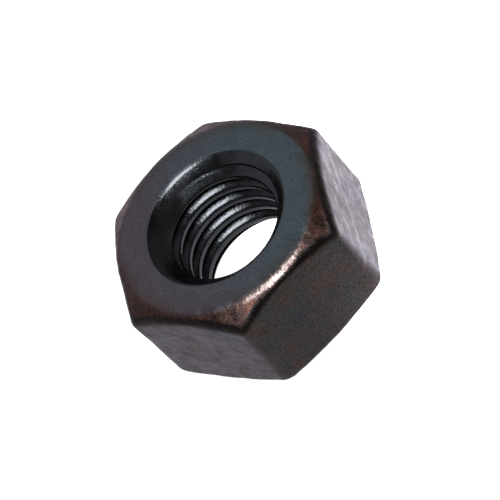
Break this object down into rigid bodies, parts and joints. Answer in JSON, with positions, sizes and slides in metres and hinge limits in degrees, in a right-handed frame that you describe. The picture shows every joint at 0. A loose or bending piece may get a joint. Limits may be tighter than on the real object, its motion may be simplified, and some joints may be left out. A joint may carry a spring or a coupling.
{
  "type": "hex nut",
  "caption": "Thick forged hexagonal nut in black oxide steel, chamfered on both faces, with a countersunk right-hand thread.",
  "frame": {"origin": "centre of the lower bearing face, on the thread axis", "axes": "+Z along the thread axis towards the upper bearing face, +X through one corner of the hexagon"},
  "size_m": [0.0252, 0.0222, 0.0123],
  "materials": {
    "black_steel": "hot black oxide over forged steel, oiled, satin"
  },
  "bodies": {
    "root": {"hex_nut": "black_steel"}
  },
  "joints": []
}
